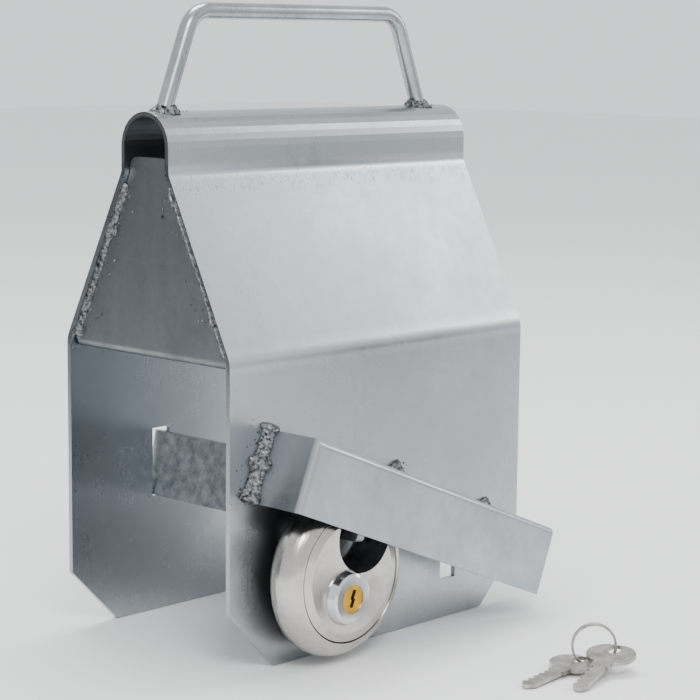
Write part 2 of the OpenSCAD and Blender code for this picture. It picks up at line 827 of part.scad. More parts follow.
housing_shell();
end_plate();
end_weld_near();
end_weld_far();
carry_handle();
handle_welds();
guard_cover();
guard_front_weld();
guard_top_welds();
locking_bar();
lock_back_shell();
lock_front_plate();
lock_boss();
notch_liner();
lock_core();
drill_plate();
guide_walls();
shackle_socket();
driver_pins();
pin_springs();
chamber_cap();
lock_plug();
key_pins();
driver_cam();
cam_clip();
shackle_rod();
shackle_arm();
split_ring();
key_front();
key_rear();
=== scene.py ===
"""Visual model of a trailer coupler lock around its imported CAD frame.

Every CAD part keeps its shape and gets a procedural metal finish. Weld beads, the split ring and
the pin springs are modelled again in full detail and ride on the same bodies. Units in the dataclasses are
millimetres; Blender's scene is in metres.
"""

import logging
import math
from dataclasses import dataclass, field
from enum import Enum
from typing import Callable, Sequence

import bpy
import numpy as np
from mathutils import Matrix, Vector

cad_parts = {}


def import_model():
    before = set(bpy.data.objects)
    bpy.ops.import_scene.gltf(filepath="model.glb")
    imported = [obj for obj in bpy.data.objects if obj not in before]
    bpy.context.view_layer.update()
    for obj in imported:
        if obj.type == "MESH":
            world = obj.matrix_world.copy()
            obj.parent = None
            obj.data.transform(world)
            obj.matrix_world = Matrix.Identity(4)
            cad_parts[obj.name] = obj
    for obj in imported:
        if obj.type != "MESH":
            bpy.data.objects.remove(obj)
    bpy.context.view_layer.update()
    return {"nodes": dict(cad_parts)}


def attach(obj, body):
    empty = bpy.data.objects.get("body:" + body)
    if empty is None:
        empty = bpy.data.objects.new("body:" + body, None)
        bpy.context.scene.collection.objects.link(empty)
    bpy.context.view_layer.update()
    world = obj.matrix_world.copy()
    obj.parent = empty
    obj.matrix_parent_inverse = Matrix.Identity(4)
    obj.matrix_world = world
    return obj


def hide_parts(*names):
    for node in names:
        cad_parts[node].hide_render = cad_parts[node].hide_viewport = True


MM = 0.001
LOG = logging.getLogger("coupler_lock")


class Mapping(Enum):
    """How a texture is stretched over a part."""

    EVEN = (1.0, 1.0, 1.0)
    DRAWN_X = (0.06, 1.0, 1.0)
    DRAWN_Y = (1.0, 0.06, 1.0)
    TURNED = (1.0, 0.05, 1.0)


def srgb(code: str) -> tuple[float, float, float, float]:
    """Turns a hex colour into linear RGBA.

    Args:
        code: six hex digits, with or without '#'.

    Returns:
        Linear red, green, blue and an alpha of one.
    """
    raw = np.array([int(code.lstrip("#")[i:i + 2], 16) for i in (0, 2, 4)]) / 255.0
    lin = np.where(raw <= 0.04045, raw / 12.92, ((raw + 0.055) / 1.055) ** 2.4)
    return (*[float(v) for v in lin], 1.0)


# ---------------------------------------------------------------- finishes


@dataclass(frozen=True)
class MetalFinish:
    """One metal surface.

    Attributes:
        name: what the finish is.
        light: hex colour of the bright patches.
        dark: hex colour of the dull patches.
        rough: least and greatest roughness.
        patch: size of the cloudy patches in mm.
        grain: size of the fine grain in mm.
        grain_depth: depth of the fine grain in mm.
        mapping: direction the grain is drawn in.
        stains: share of the surface with dark stains, 0 to 1.
        stain: hex colour of the stains.
        scratches: strength of the fine scratches, 0 to 1.
        metallic: metallic weight.
    """

    name: str
    light: str
    dark: str
    rough: tuple[float, float] = (0.25, 0.4)
    patch: float = 30.0
    grain: float = 0.8
    grain_depth: float = 0.02
    mapping: Mapping = Mapping.EVEN
    stains: float = 0.0
    stain: str = "#3A3B3B"
    scratches: float = 0.3
    metallic: float = 1.0


class NodeTree:
    """A material's node tree with one small way of adding nodes."""

    def __init__(self, material: bpy.types.Material) -> None:
        """Starts an empty tree.

        Args:
            material: the material to fill.
        """
        material.use_nodes = True
        self.tree = material.node_tree
        self.tree.nodes.clear()

    def add(self, kind: str, **inputs: object) -> bpy.types.Node:
        """Adds a node; values go on its sockets and attributes, sockets are linked.

        Args:
            kind: the node's type without 'ShaderNode'.
            **inputs: attribute names, or socket names with '_' for a space; a number prefixed by 'i' is an index.

        Returns:
            The new node.
        """
        node = self.tree.nodes.new("ShaderNode" + kind)
        for key, value in inputs.items():
            if hasattr(node, key) and key not in ("inputs", "outputs"):
                setattr(node, key, value)
                continue
            socket = node.inputs[int(key[1:])] if key[1:].isdigit() else node.inputs[key.replace("_", " ")]
            if isinstance(value, bpy.types.NodeSocket):
                self.tree.links.new(value, socket)
            else:
                socket.default_value = value
        return node

    def ramp(self, source: bpy.types.NodeSocket,
             stops: Sequence[tuple[float, tuple]]) -> bpy.types.NodeSocket:
        """A colour ramp fed by a socket.

        Args:
            source: socket with the factor.
            stops: positions and linear RGBA colours.

        Returns:
            The ramp's colour output.
        """
        node = self.add("ValToRGB", Fac=source)
        ramp = node.color_ramp
        while len(ramp.elements) < len(stops):
            ramp.elements.new(0.5)
        for element, (place, colour) in zip(ramp.elements, stops):
            element.position = place
            element.color = colour
        return node.outputs["Color"]

    def noise(self, vector: bpy.types.NodeSocket, size_mm: float, detail: float = 3.0,
              rough: float = 0.55) -> bpy.types.NodeSocket:
        """Fractal noise whose features are about size_mm.

        Args:
            vector: coordinate socket, in metres.
            size_mm: feature size.
            detail: number of octaves.
            rough: weight of the finer octaves.

        Returns:
            The factor output.
        """
        return self.add("TexNoise", Vector=vector, Scale=1000.0 / size_mm, Detail=detail,
                        Roughness=rough).outputs["Fac"]


# Black and white as linear RGBA, for the ends of a mask
GREY = {v: (v, v, v, 1.0) for v in (0.0, 1.0)}


def metal(finish: MetalFinish, extra: Callable | None = None) -> bpy.types.Material:
    """Builds the material of a finish.

    Args:
        finish: the surface to build.
        extra: optional hook that gets the tree, coordinates, colour, roughness and height sockets and
            returns the last three changed.

    Returns:
        The material.
    """
    material = bpy.data.materials.new(finish.name)
    nt = NodeTree(material)
    coords = nt.add("TexCoord").outputs["Object"]
    drawn = nt.add("Mapping", Vector=coords, Scale=finish.mapping.value).outputs["Vector"]
    cloud = nt.noise(coords, finish.patch, 5.0, 0.6)
    fine = nt.noise(coords, finish.patch / 7, 4.0, 0.6)
    mixed = nt.add("Math", operation="MULTIPLY_ADD", i0=fine, i1=0.4, i2=cloud).outputs[0]
    colour = nt.ramp(mixed, [(0.52, srgb(finish.dark)), (0.86, srgb(finish.light))])
    rough = nt.add("MapRange", i0=mixed, i1=0.5, i2=0.9, i3=finish.rough[1], i4=finish.rough[0]).outputs[0]
    grain = nt.noise(drawn, finish.grain, 4.0, 0.65)
    streaks = nt.noise(nt.add("Mapping", Vector=coords, Scale=(1.0, 1.0, 0.12)).outputs["Vector"], 6.0, 6.0, 0.7)
    rough = nt.add("Math", operation="MULTIPLY_ADD", i0=streaks, i1=0.12, i2=rough).outputs[0]
    scratch_map = nt.add("Mapping", Vector=coords, Rotation=(0.4, 0.9, 0.3), Scale=(1.0, 0.03, 1.0))
    scratch = nt.ramp(nt.noise(scratch_map.outputs["Vector"], 0.9, 2.0, 0.5),
                      [(0.66, GREY[0.0]), (0.72, GREY[1.0])])
    scratch = nt.add("Math", operation="MULTIPLY", i0=scratch, i1=finish.scratches).outputs[0]
    rough = nt.add("Math", operation="MULTIPLY_ADD", i0=scratch, i1=0.15, i2=rough).outputs[0]
    height = nt.add("Math", operation="MULTIPLY_ADD", i0=scratch, i1=-0.3, i2=grain).outputs[0]
    if finish.stains > 0:
        spots = nt.noise(coords, 5.0, 6.0, 0.75)
        low = 0.72 - 0.25 * finish.stains
        mask = nt.ramp(spots, [(low, GREY[0.0]), (low + 0.12, GREY[1.0])])
        colour = nt.add("Mix", data_type="RGBA", i0=mask, i6=colour, i7=srgb(finish.stain)).outputs[2]
        rough = nt.add("Math", operation="MULTIPLY_ADD", i0=mask, i1=0.2, i2=rough).outputs[0]
    if extra:
        colour, rough, height = extra(nt, coords, colour, rough, height)
    bump = nt.add("Bump", Height=height, Distance=finish.grain_depth * MM, Strength=0.6)
    shader = nt.add("BsdfPrincipled", Base_Color=colour, Metallic=finish.metallic, Roughness=rough,
                    Normal=bump.outputs["Normal"])
    nt.add("OutputMaterial", Surface=shader.outputs["BSDF"])
    return material


def band(nt: NodeTree, coords: bpy.types.NodeSocket, axis: str, low: float, high: float,
         soft: float) -> bpy.types.NodeSocket:
    """A soft mask that is one between two places on an axis.

    Args:
        nt: the tree.
        coords: coordinates in metres.
        axis: 'X', 'Y' or 'Z'.
        low: start in mm.
        high: end in mm.
        soft: width of the soft edge in mm.

    Returns:
        The mask socket.
    """
    value = nt.add("SeparateXYZ", Vector=coords).outputs[axis]
    up = nt.add("MapRange", i0=value, i1=(low - soft) * MM, i2=(low + soft) * MM).outputs[0]
    down = nt.add("MapRange", i0=value, i1=(high - soft) * MM, i2=(high + soft) * MM, i3=1.0, i4=0.0).outputs[0]
    return nt.add("Math", operation="MULTIPLY", i0=up, i1=down).outputs[0]


def folded_zinc(nt: NodeTree, coords: bpy.types.NodeSocket, colour: bpy.types.NodeSocket,
                rough: bpy.types.NodeSocket, height: bpy.types.NodeSocket) -> tuple:
    """Plated sheet: painted highlights on the neck fold and the knee bend, fine cracks under the ridge's fold, and
    painted shade with raised roughness in the ridge's bore.

    Args:
        nt: the tree.
        coords: coordinates in metres.
        colour: the sheet's colour so far.
        rough: its roughness so far.
        height: its bump height so far.

    Returns:
        The new colour, roughness and height sockets.
    """
    crack_map = nt.add("Mapping", Vector=coords, Scale=(1.0, 1.0, 0.08)).outputs["Vector"]
    cracks = nt.ramp(nt.noise(crack_map, 1.3, 3.0, 0.6), [(0.56, GREY[0.0]), (0.63, GREY[1.0])])
    below = band(nt, coords, "Z", Housing.neck_z - 9, Housing.neck_z - 1, 2.0)
    cracks = nt.add("Math", operation="MULTIPLY", i0=cracks, i1=below).outputs[0]
    # Bands at the neck fold and the knee bend that get a painted highlight
    fold = band(nt, coords, "Z", Housing.neck_z - 2, Housing.neck_z + 4, 1.2)
    knee = band(nt, coords, "Z", Housing.knee_z - 3, Housing.knee_z + 4, 4.0)
    painted_fold_highlight = nt.add("Math", operation="MAXIMUM", i0=fold, i1=knee).outputs[0]
    colour = nt.add("Mix", data_type="RGBA", i0=nt.add("Math", operation="MULTIPLY", i0=cracks, i1=0.55).outputs[0],
                    i6=colour, i7=srgb("#5C6266")).outputs[2]
    # Painted highlight: both bands are lightened towards #E9ECEE and made a little glossier
    colour = nt.add("Mix", data_type="RGBA", i0=nt.add("Math", operation="MULTIPLY", i0=painted_fold_highlight, i1=0.35).outputs[0],
                    i6=colour, i7=srgb("#E9ECEE")).outputs[2]
    rough = nt.add("Math", operation="MULTIPLY_ADD", i0=painted_fold_highlight, i1=-0.08, i2=rough).outputs[0]
    rough = nt.add("Math", operation="MAXIMUM", i0=rough, i1=0.12).outputs[0]
    height = nt.add("Math", operation="MULTIPLY_ADD", i0=cracks, i1=-2.5, i2=height).outputs[0]
    # Within the ridge the sheet is painted dark as shade and made rougher; the mask ends within the sheet's
    # thickness
    within_sheet = 0.8
    bore = Housing.ridge_r - Housing.sheet + within_sheet
    centre = Housing.top - Housing.ridge_r
    across = nt.add("Mapping", Vector=coords, Location=(0.0, 0.0, -centre * MM), Scale=(0.0, 1.0, 1.0)).outputs[0]
    reach = nt.add("VectorMath", operation="LENGTH", i0=across).outputs["Value"]
    round_part = nt.add("MapRange", i0=reach, i1=(bore - 0.3) * MM, i2=bore * MM, i3=1.0, i4=0.0).outputs[0]
    walls = nt.add("Math", operation="MULTIPLY", i0=band(nt, coords, "Y", -bore, bore, 0.2),
                   i1=band(nt, coords, "Z", Housing.neck_z + 1, centre + 2, 1.0)).outputs[0]
    painted_bore_shade = nt.add("Math", operation="MAXIMUM", i0=round_part, i1=walls).outputs[0]
    # Painted shade: the ridge's bore is darkened towards #2A2F35
    colour = nt.add("Mix", data_type="RGBA", i0=nt.add("Math", operation="MULTIPLY", i0=painted_bore_shade, i1=0.9).outputs[0],
                    i6=colour, i7=srgb("#2A2F35")).outputs[2]
    rough = nt.add("Math", operation="MULTIPLY_ADD", i0=painted_bore_shade, i1=0.2, i2=rough).outputs[0]
    return colour, rough, height


# ---------------------------------------------------------------- meshes


def new_object(name: str, verts: np.ndarray, faces: np.ndarray, material: bpy.types.Material,
               smooth: bool = True) -> bpy.types.Object:
    """Makes a mesh object at the origin.

    Args:
        name: object name.
        verts: (n, 3) places in mm.
        faces: (m, 4) or (m, 3) vertex numbers.
        material: its finish.
        smooth: whether its faces are shaded smooth.

    Returns:
        The object.
    """
    mesh = bpy.data.meshes.new(name)
    mesh.from_pydata((verts * MM).tolist(), [], faces.tolist())
    mesh.validate()
    mesh.polygons.foreach_set("use_smooth", np.full(len(mesh.polygons), smooth))
    mesh.materials.append(material)
    mesh.update()
    obj = bpy.data.objects.new(name, mesh)
    bpy.context.scene.collection.objects.link(obj)
    LOG.info("%s: %d faces", name, len(mesh.polygons))
    return obj


def tube(rings: np.ndarray, closed: bool) -> tuple[np.ndarray, np.ndarray]:
    """Joins rings of points into a skin.

    Args:
        rings: (n, m, 3) places.
        closed: whether the last ring joins the first one; otherwise a fan of triangles closes each end.

    Returns:
        Vertices, and quad faces when closed or triangles when not.
    """
    n, m, _ = rings.shape
    i = np.arange(n if closed else n - 1)[:, None]
    j = np.arange(m)[None, :]
    a = i * m + j
    b = i * m + (j + 1) % m
    c = ((i + 1) % n) * m + (j + 1) % m
    d = ((i + 1) % n) * m + j
    quads = np.stack([a, b, c, d], -1).reshape(-1, 4)
    verts = rings.reshape(-1, 3)
    if closed:
        return verts, quads
    ends = np.stack([rings[0].mean(0), rings[-1].mean(0)])
    k = np.arange(m)
    first = np.stack([np.full(m, n * m), (k + 1) % m, k], -1)
    last = np.stack([np.full(m, n * m + 1), (n - 1) * m + k, (n - 1) * m + (k + 1) % m], -1)
    tris = np.concatenate([first, last])
    quads3 = np.concatenate([quads[:, [0, 1, 2]], quads[:, [0, 2, 3]], tris])
    return np.concatenate([verts, ends]), quads3


def unit(v: np.ndarray) -> np.ndarray:
    """Vectors scaled to length one along the last axis."""
    return v / np.maximum(np.linalg.norm(v, axis=-1, keepdims=True), 1e-9)


def lumps(rng: np.random.Generator, n: int, m: int, size: float) -> np.ndarray:
    """Smooth random lumps on an (n, m) grid that closes in its second direction.

    Args:
        rng: seeded generator.
        n: rows.
        m: columns.
        size: rows per lump.

    Returns:
        Heights of about -1 to 1.
    """
    t = np.arange(n)[:, None] / size
    s = np.arange(m)[None, :] / m * 2 * np.pi
    out = np.zeros((n, m))
    for octave in range(1, 5):
        phase = rng.uniform(0, 2 * np.pi, 3)
        out += np.sin(t * octave * 1.7 + phase[0] + 1.3 * np.sin(s * octave + phase[1])) \
            * np.cos(s * octave + phase[2]) / octave
    return out / 1.6


# ---------------------------------------------------------------- layout


class Housing:
    """Sizes of the housing that the visual pieces meet."""

    length = 209.0
    half_w = 58.5
    sheet = 2.5
    knee_z = 148.0
    neck_z = 231.5
    ridge_r = 16.7
    ridge_z = 243.3
    top = 260.0


class Guard:
    """The guard's frame: x along it, y away from the panel, z up it."""

    origin = np.array([-79.2, -58.5, 114.5])
    tilt = math.radians(22)
    length = 188.0
    height = 35.2

    @classmethod
    def place(cls, p: Sequence[float]) -> np.ndarray:
        """A point of the guard's frame in the row frame."""
        x, y, z = p
        c, s = math.cos(cls.tilt), math.sin(cls.tilt)
        return cls.origin + np.array([x * c + z * s, -y, -x * s + z * c])

    @classmethod
    def turn(cls, v: Sequence[float]) -> np.ndarray:
        """A direction of the guard's frame in the row frame."""
        return cls.place(v) - cls.origin


# ---------------------------------------------------------------- welds


@dataclass
class WeldRun:
    """A straight weld bead in a corner.

    Attributes:
        start: first end of the corner line.
        end: other end.
        side_a: direction of one leg.
        side_b: direction of the other leg.
        leg: length of the legs.
        seed: seed of its lumps.
        blobs: places along it, 0 to 1, with a heavier blob.
    """

    start: np.ndarray
    end: np.ndarray
    side_a: np.ndarray
    side_b: np.ndarray
    leg: float = 3.2
    seed: int = 1
    blobs: tuple[float, ...] = ()

    def rings(self) -> np.ndarray:
        """The bead's rings of points, ends rounded off."""
        rng = np.random.default_rng(self.seed)
        length = float(np.linalg.norm(self.end - self.start))
        n, m = max(int(length / 0.35), 24), 20
        t = np.linspace(0, 1, n)
        along = t * length
        reach = np.minimum(along, length - along)
        taper = np.sqrt(np.clip(reach / (self.leg * 0.8), 0, 1) * (2 - np.clip(reach / (self.leg * 0.8), 0, 1)))
        ripple = 1 + 0.07 * np.abs(np.sin(along * math.pi / 1.9 + rng.uniform(0, 3))) \
            + 0.10 * np.sin(along / 9 + rng.uniform(0, 6)) + 0.06 * np.sin(along / 3.1 + rng.uniform(0, 6))
        for place in self.blobs:
            ripple = ripple + 0.75 * np.exp(-((along - place * length) / 3.2) ** 2)
        size = self.leg * ripple * np.maximum(taper, 0.03)
        angle = np.linspace(0, math.pi / 2, m - 3)
        bulge = 1 - 0.20 * np.sin(2 * angle)
        a = np.cos(angle) * bulge
        b = np.sin(angle) * bulge
        curve = size[:, None] * (1 + 0.08 * lumps(rng, n, m - 3, 6.0) + 0.09 * lumps(rng, n, m - 3, 1.9))
        centre = self.start + (self.end - self.start) * t[:, None]
        arc = centre[:, None] + curve[..., None] * (a[None, :, None] * self.side_a + b[None, :, None] * self.side_b)
        back = [centre + size[:, None] * (self.side_b * kb + self.side_a * ka) for ka, kb in
                ((-0.03, 0.5), (-0.03, -0.03), (0.5, -0.03))]
        return np.concatenate([arc, np.stack(back, 1)], 1)


@dataclass
class FootWeld:
    """A weld collar between a handle leg and the round ridge.

    Attributes:
        foot: where the leg's axis meets the ridge.
        axis: the leg's direction.
        radius: the rod's radius.
        leg: size of the bead.
        seed: seed of its lumps.
    """

    foot: np.ndarray
    axis: np.ndarray
    radius: float = 4.0
    leg: float = 3.4
    seed: int = 5

    def rings(self) -> np.ndarray:
        """The collar's rings; the last joins the first."""
        rng = np.random.default_rng(self.seed)
        n, m = 96, 16
        theta = np.linspace(0, 2 * np.pi, n, endpoint=False)
        out = np.stack([np.cos(theta), np.sin(theta), np.zeros(n)], -1)
        base = self.foot + out * (self.radius - 0.2)
        base[:, 2] = Housing.ridge_z + np.sqrt(Housing.ridge_r ** 2 - base[:, 1] ** 2) - 0.25
        slope = -base[:, 1] / (base[:, 2] - Housing.ridge_z)
        side_a = unit(out + np.stack([np.zeros(n), np.zeros(n), slope * out[:, 1]], -1))
        lean = unit(self.axis)
        side_b = np.tile(lean, (n, 1))
        shift = 1 + 0.16 * np.sin(theta * 3 + 1 + self.seed) + 0.07 * np.sin(theta * 11) + 0.05 * np.sin(theta * 23)
        size = self.leg * shift
        angle = np.linspace(0, math.pi / 2, m - 3)
        bulge = 1 - 0.16 * np.sin(2 * angle)
        noise = 1 + 0.09 * np.sin(5 * theta[:, None] + 3 * angle[None]) + 0.04 * rng.standard_normal((n, m - 3))
        curve = size[:, None] * noise
        arc = base[:, None] + curve[..., None] * (np.cos(angle) * bulge)[None, :, None] * side_a[:, None] \
            + curve[..., None] * (np.sin(angle) * bulge)[None, :, None] * side_b[:, None]
        back = np.stack([base + side_b * self.leg * 0.5, base, base + side_a * self.leg * 0.5], 1)
        return np.concatenate([arc, back], 1)


@dataclass
class Spatter:
    """Drops of weld metal on a flat face.

    Attributes:
        corner: a corner of the area.
        along: first edge of the area.
        across: second edge.
        normal: the face's outward normal.
        count: number of drops.
        size: least and greatest radius.
        seed: seed of their places.
    """

    corner: np.ndarray
    along: np.ndarray
    across: np.ndarray
    normal: np.ndarray
    count: int
    size: tuple[float, float] = (0.25, 0.8)
    seed: int = 3

    def skin(self) -> tuple[np.ndarray, np.ndarray]:
        """Vertices and faces of all the drops."""
        rng = np.random.default_rng(self.seed)
        rows, cols = 5, 10
        phi = np.linspace(-0.25, math.pi / 2, rows)[:, None]
        th = np.linspace(0, 2 * np.pi, cols, endpoint=False)[None]
        ball = np.stack([np.cos(phi) * np.cos(th), np.cos(phi) * np.sin(th), np.sin(phi) + 0 * th], -1)
        u, n = unit(self.along), unit(self.normal)
        v = np.cross(n, u)
        place = self.corner + rng.uniform(0, 1, (self.count, 1)) * self.along \
            + (rng.uniform(0, 1, (self.count, 1)) ** 2) * self.across
        radius = rng.uniform(0, 1, self.count) ** 2.5 * (self.size[1] - self.size[0]) + self.size[0]
        squash = rng.uniform(0.45, 0.9, self.count)
        world = ball[..., 0:1] * u + ball[..., 1:2] * v
        verts = place[:, None, None] + radius[:, None, None, None] * (
            world[None] + squash[:, None, None, None] * ball[None, ..., 2:3] * n)
        i, j = np.arange(rows - 1)[:, None], np.arange(cols)[None]
        quad = np.stack([i * cols + j, i * cols + (j + 1) % cols, (i + 1) * cols + (j + 1) % cols,
                         (i + 1) * cols + j], -1).reshape(-1, 4)
        faces = (quad[None] + (np.arange(self.count) * rows * cols)[:, None, None]).reshape(-1, 4)
        return verts.reshape(-1, 3), faces


def weld_object(name: str, runs: Sequence[tuple[np.ndarray, bool]], material: bpy.types.Material,
                nodes: Sequence[str]) -> bpy.types.Object:
    """Joins several beads into one piece that stands for CAD weld nodes.

    Args:
        name: object name.
        runs: rings of each bead and whether it is closed.
        material: the finish.
        nodes: CAD nodes that it replaces.

    Returns:
        The object.
    """
    verts, faces, base = [], [], 0
    for rings, closed in runs:
        v, f = tube(rings, closed)
        if f.shape[1] == 4:
            f = np.concatenate([f[:, [0, 1, 2]], f[:, [0, 2, 3]]])
        verts.append(v)
        faces.append(f + base)
        base += len(v)
    obj = new_object(name, np.concatenate(verts), np.concatenate(faces), material)
    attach(obj, "housing")
    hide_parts(*nodes)
    return obj


class Welds:
    """All the weld beads and their spatter."""

    def __init__(self, material: bpy.types.Material) -> None:
        """Keeps the finish.

        Args:
            material: the beads' finish.
        """
        self.material = material

    def end_plate(self) -> None:
        """Beads up both sloped sides of the end plate."""
        run = (Housing.half_w - Housing.ridge_r) / (Housing.neck_z - Housing.knee_z)
        slant = math.hypot(1, run)
        low, high = 149.5, 226.0

        def inner(z: float) -> float:
            """Half the width between the roof's inner faces at a height."""
            return Housing.half_w - (z - Housing.knee_z) * run - Housing.sheet * slant

        # The near bead is run over the sheet's front edge, the far one stays in the corner
        for side, name, front, over, blobs in ((-1, "near", -103.9, 0.9, (0.22, 0.93)),
                                               (1, "far", -101.5, 0.0, (0.02, 0.7))):
            start = np.array([front, side * (inner(low) + over), low])
            end = np.array([front, side * (inner(high) + over), high])
            into = unit(np.array([0.0, -side * 1.0, -run]))
            bead = WeldRun(start, end, np.array([-0.72, 0.0, 0.0]), into, 2.5, 11 + side, blobs=blobs)
            weld_object(f"end_bead_{name}", [(bead.rings(), False)], self.material, [f"end_weld_{name}"])

    def handle(self) -> None:
        """Collars round both feet of the handle."""
        collars = []
        for side, seed in ((-1, 4), (1, 9)):
            lean = unit(np.array([-side * 0.385, 0.0, 1.0]))
            foot = np.array([-3.5 + side * 89.0, 0.0, Housing.top])
            collars.append((FootWeld(foot, lean, seed=seed).rings(), True))
        weld_object("handle_beads", collars, self.material, ["handle_welds"])

    def guard(self) -> None:
        """The bead down the guard's front end and the two stitches along its upper edge."""
        out = np.array([0.0, -1.0, 0.0])
        left = Guard.turn((-1, 0, 0))
        up = Guard.turn((0, 0, 1))
        front = WeldRun(Guard.place((0, 0, 3.0)), Guard.place((0, 0, -Guard.height - 1.5)), left, out, 4.6, 21,
                        blobs=(0.02, 0.5, 0.97))
        weld_object("guard_front_bead", [(front.rings(), False)], self.material, ["guard_front_weld"])
        stitches = []
        for k, share in enumerate((0.49, 0.89)):
            a, b = Guard.length * share - 8, Guard.length * share + 8
            stitches.append((WeldRun(Guard.place((a, 0, 0)), Guard.place((b, 0, 0)), up, out, 4.2, 31 + k,
                                     blobs=(0.5,)).rings(), False))
        weld_object("guard_top_beads", stitches, self.material, ["guard_top_welds"])

    def spatter(self) -> None:
        """Drops near the beads."""
        out = np.array([0.0, -1.0, 0.0])
        down = Guard.turn((0, 0, -1))
        left = Guard.turn((-1, 0, 0))
        top = Housing.top
        run = (Housing.half_w - Housing.ridge_r) / (Housing.neck_z - Housing.knee_z)
        inner = Housing.half_w - Housing.sheet * math.hypot(1, run)
        rise = np.array([0.0, run * 72, 72.0])
        areas = {
            "spatter_panel": Spatter(Guard.place((-2, 0.02, 4)), down * 44, left * 13, out, 46, (0.2, 0.75), 41),
            "spatter_ridge_front": Spatter(np.array([-100.0, -2.0, top - 0.05]), np.array([22.0, 0, 0]),
                                           np.array([0, 4.0, 0]), np.array([0, 0, 1.0]), 22, (0.2, 0.6), 42),
            "spatter_ridge_rear": Spatter(np.array([76.0, -2.0, top - 0.05]), np.array([22.0, 0, 0]),
                                          np.array([0, 4.0, 0]), np.array([0, 0, 1.0]), 22, (0.2, 0.6), 43),
            "spatter_plate_near": Spatter(np.array([-101.48, -inner + 4.5, 150.0]), rise, np.array([0, 14.0, 0]),
                                          np.array([-1.0, 0, 0]), 70, (0.2, 0.9), 44),
            "spatter_plate_far": Spatter(np.array([-101.48, inner - 4.5, 150.0]), rise * np.array([1, -1, 1]),
                                         np.array([0, -12.0, 0]), np.array([-1.0, 0, 0]), 60, (0.2, 0.8), 45),
            "spatter_stitches": Spatter(Guard.place((84, 0.02, 3)), Guard.turn((1, 0, 0)) * 18,
                                        Guard.turn((0, 0, 1)) * 7, out, 12, (0.2, 0.55), 46),
        }
        for name, area in areas.items():
            verts, faces = area.skin()
            obj = new_object(name, verts, faces, self.material)
            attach(obj, "housing")


# ---------------------------------------------------------------- wound wire


@dataclass
class Winding:
    """A wound wire.

    Attributes:
        centre: middle of its first end.
        axis: direction it climbs in.
        radius: radius at the wire's middle.
        pitch: climb per turn.
        turns: number of turns.
        wire: width and height of the wire's section.
        square: share by which the section is squared off.
        start: angle of the first end, in degrees.
    """

    centre: np.ndarray
    axis: np.ndarray
    radius: float
    pitch: float
    turns: float
    wire: tuple[float, float]
    square: bool = False
    start: float = 0.0

    def skin(self, steps: int = 72, sides: int = 12) -> tuple[np.ndarray, np.ndarray]:
        """Vertices and faces of the wire.

        Args:
            steps: rings per turn.
            sides: points per ring.

        Returns:
            Vertices and triangles.
        """
        axis = unit(np.asarray(self.axis, float))
        side = unit(np.cross(axis, [0.0, 0.0, 1.0] if abs(axis[2]) < 0.9 else [1.0, 0.0, 0.0]))
        other = np.cross(axis, side)
        n = int(steps * self.turns) + 1
        t = np.linspace(0, self.turns, n)
        ang = 2 * np.pi * t + math.radians(self.start)
        radial = np.cos(ang)[:, None] * side + np.sin(ang)[:, None] * other
        path = self.centre + radial * self.radius + axis * (t * self.pitch)[:, None]
        phi = np.linspace(0, 2 * np.pi, sides, endpoint=False)
        power = 0.35 if self.square else 1.0
        cx = np.sign(np.cos(phi)) * np.abs(np.cos(phi)) ** power * self.wire[0] / 2
        cy = np.sign(np.sin(phi)) * np.abs(np.sin(phi)) ** power * self.wire[1] / 2
        rings = path[:, None] + cx[None, :, None] * radial[:, None] + cy[None, :, None] * axis
        return tube(rings, False)


def split_ring(material: bpy.types.Material) -> None:
    """The two-turn key ring.

    Args:
        material: the ring's finish.
    """
    yaw = math.radians(-46.4)
    normal = np.array([math.sin(yaw), -math.cos(yaw), 0.0])
    coil = Winding(np.array([30.0, -167.5, 11.1]) - normal * 1.14, normal, 10.3, 1.14, 1.96, (1.18, 1.08),
                   True, start=200)
    verts, faces = coil.skin(96, 16)
    obj = new_object("wound_ring", verts, faces, material)
    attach(obj, "ring")
    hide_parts("split_ring")


def pin_springs(material: bpy.types.Material) -> None:
    """A coil spring behind each driver pin.

    Args:
        material: the springs' finish.
    """
    tilt = math.radians(24)
    lock = np.array([-49.9034, -74.0, 43.4476])
    plug_offset, bore_r, pin_gap, pin_len = 10, 6.86, 0.45, 2.8
    pin_count, first_pin, pitch = 4, -3.2, 3
    along_n = np.array([math.sin(tilt), 0.0, math.cos(tilt)])
    out = np.array([0.0, -1.0, 0.0])
    verts, faces, base = [], [], 0
    for i in range(pin_count):
        start = lock + along_n * (-plug_offset - bore_r - pin_gap - pin_len) + out * (first_pin + pitch * i)
        v, f = Winding(start, -along_n, 0.85, 0.52, 5.0, (0.3, 0.3)).skin(24, 6)
        verts.append(v)
        faces.append(f + base)
        base += len(v)
    obj = new_object("coil_springs", np.concatenate(verts), np.concatenate(faces), material)
    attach(obj, "padlock")
    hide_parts("pin_springs")


# ---------------------------------------------------------------- stage


@dataclass(frozen=True)
class Camera:
    """The studio camera."""

    place: tuple[float, float, float] = (-748.5, -746.1, 295.9)
    azimuth: float = -46.437
    elevation: float = 8.525
    roll: float = 0.610
    lens: float = 107.82

    def make(self) -> None:
        """Adds the camera to the scene."""
        a, e, r = (math.radians(v) for v in (self.azimuth, self.elevation, self.roll))
        right = Vector((math.cos(a), math.sin(a), 0))
        back = Vector((math.sin(a) * math.cos(e), -math.cos(a) * math.cos(e), math.sin(e)))
        up = back.cross(right)
        turned_right = right * math.cos(r) + up * math.sin(r)
        turned_up = up * math.cos(r) - right * math.sin(r)
        data = bpy.data.cameras.new("camera")
        data.lens, data.sensor_width, data.sensor_fit = self.lens, 36.0, "HORIZONTAL"
        data.dof.use_dof = False
        data.clip_start, data.clip_end = 0.05, 30.0
        cam = bpy.data.objects.new("camera", data)
        matrix = Matrix((turned_right, turned_up, back)).transposed().to_4x4()
        matrix.translation = Vector(self.place) * MM
        cam.matrix_world = matrix
        bpy.context.scene.collection.objects.link(cam)
        bpy.context.scene.camera = cam


